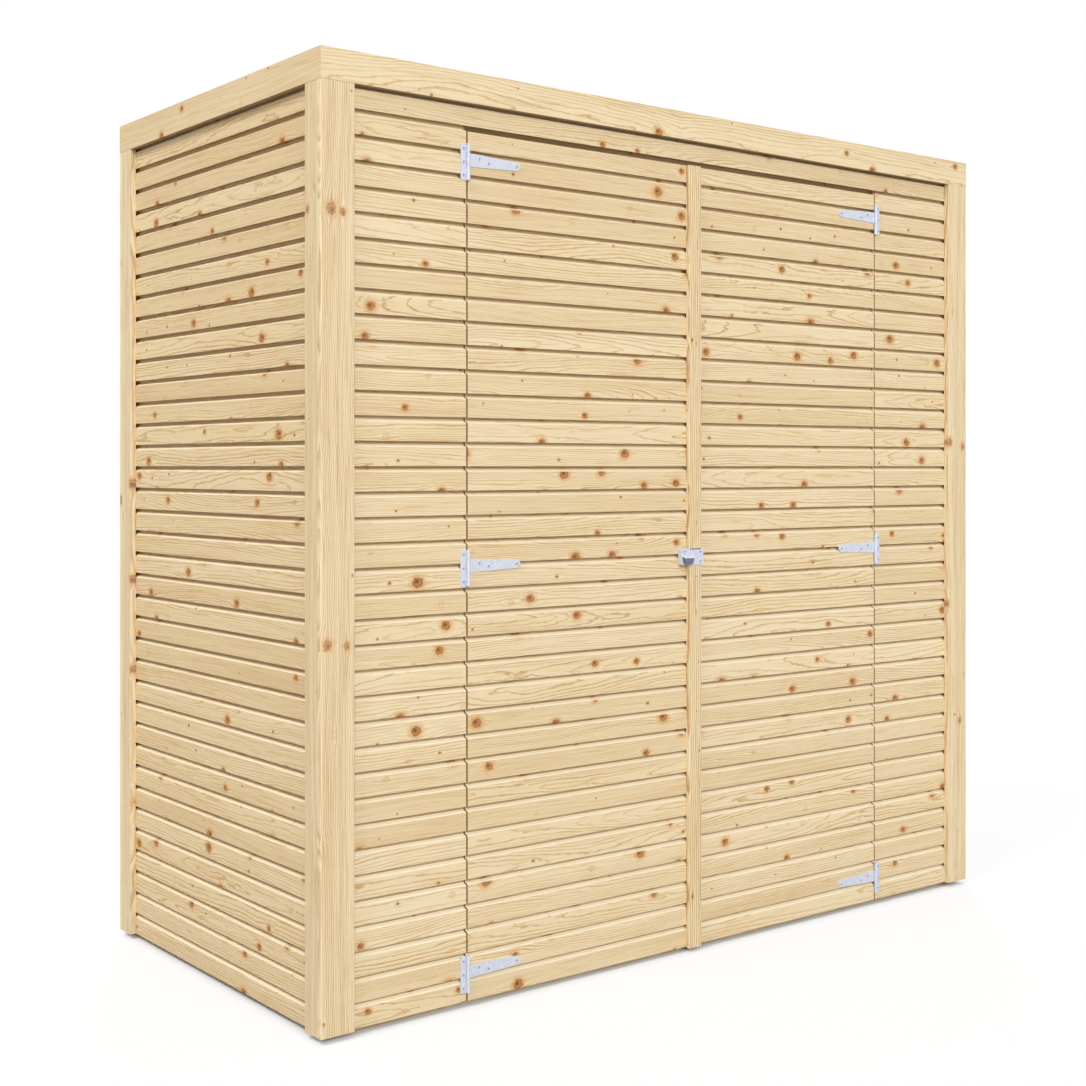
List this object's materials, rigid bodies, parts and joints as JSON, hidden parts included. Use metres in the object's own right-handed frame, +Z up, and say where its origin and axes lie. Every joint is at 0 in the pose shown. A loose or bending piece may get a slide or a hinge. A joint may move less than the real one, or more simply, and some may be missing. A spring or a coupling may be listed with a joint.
{
  "type": "garden shed",
  "caption": "Flat-roofed wooden garden shed with horizontal shiplap boards, plain corner boards, a fascia and double doors on T-hinges with a turn latch and inner bolts.",
  "frame": {"origin": "on the ground under the middle of the walls, at the underside of the middle floor bearer", "axes": "+X to the right seen from the front, -Y out of the front, +Z up"},
  "size_m": [2.09, 1.0129, 2.036],
  "materials": {
    "natural_softwood": "satin",
    "galvanised_steel": "satin",
    "dark_painted_steel": "satin",
    "roofing_felt": "matte"
  },
  "bodies": {
    "shed": {"front_sill": "natural_softwood", "header_beam": "natural_softwood", "front_studs": "natural_softwood", "door_stops": "natural_softwood", "left_wall_rails": "natural_softwood", "left_wall_studs": "natural_softwood", "right_wall_rails": "natural_softwood", "right_wall_studs": "natural_softwood", "back_wall_rails": "natural_softwood", "back_wall_studs": "natural_softwood", "floor_bearers": "natural_softwood", "floor_boards": "natural_softwood", "left_cladding": "natural_softwood", "right_cladding": "natural_softwood", "back_cladding": "natural_softwood", "front_left_cladding": "natural_softwood", "front_right_cladding": "natural_softwood", "header_board": "natural_softwood", "front_left_trim": "natural_softwood", "front_left_side_trim": "natural_softwood", "front_right_trim": "natural_softwood", "front_right_side_trim": "natural_softwood", "rear_left_trim": "natural_softwood", "rear_left_side_trim": "natural_softwood", "rear_right_trim": "natural_softwood", "rear_right_side_trim": "natural_softwood", "front_fascia": "natural_softwood", "left_fascia": "natural_softwood", "right_fascia": "natural_softwood", "rear_fascia": "natural_softwood", "fascia_battens": "natural_softwood", "rafters": "natural_softwood", "roof_boards": "natural_softwood", "roof_felt": "roofing_felt", "left_hinge_plates": "galvanised_steel", "right_hinge_plates": "galvanised_steel"},
    "left_door": {"left_door_boards": "natural_softwood", "left_door_stiles": "natural_softwood", "left_door_rails": "natural_softwood", "left_door_braces": "natural_softwood", "meeting_strip": "natural_softwood", "left_hinge_straps": "galvanised_steel", "latch_plate": "galvanised_steel", "latch_packer": "galvanised_steel"},
    "right_door": {"right_door_boards": "natural_softwood", "right_door_stiles": "natural_softwood", "right_door_rails": "natural_softwood", "right_door_braces": "natural_softwood", "right_hinge_straps": "galvanised_steel", "top_bolt_guide": "galvanised_steel", "bottom_bolt_guide": "galvanised_steel"},
    "latch": {"latch_thumb_piece": "dark_painted_steel", "latch_spindle": "galvanised_steel", "latch_cam": "galvanised_steel", "latch_nut": "galvanised_steel"},
    "top_bolt": {"top_bolt": "galvanised_steel"},
    "bottom_bolt": {"bottom_bolt": "galvanised_steel"}
  },
  "joints": [
    {"name": "left_door_hinge", "type": "hinge", "parent": "shed", "child": "left_door", "pos_m": [-0.671, -0.4918, 0.957], "axis": [0, 0, -1], "range_deg": [0, 170]},
    {"name": "right_door_hinge", "type": "hinge", "parent": "shed", "child": "right_door", "pos_m": [0.671, -0.4918, 0.957], "axis": [0, 0, 1], "range_deg": [0, 170]},
    {"name": "latch_turn", "type": "hinge", "parent": "left_door", "child": "latch", "pos_m": [-0.03, -0.487, 0.951], "axis": [0, -1, 0], "range_deg": [0, 90]},
    {"name": "top_bolt_slide", "type": "slide", "parent": "right_door", "child": "top_bolt", "axis": [0, 0, 1], "range_m": [0, 0.03]},
    {"name": "bottom_bolt_slide", "type": "slide", "parent": "right_door", "child": "bottom_bolt", "axis": [0, 0, -1], "range_m": [0, 0.03]}
  ]
}
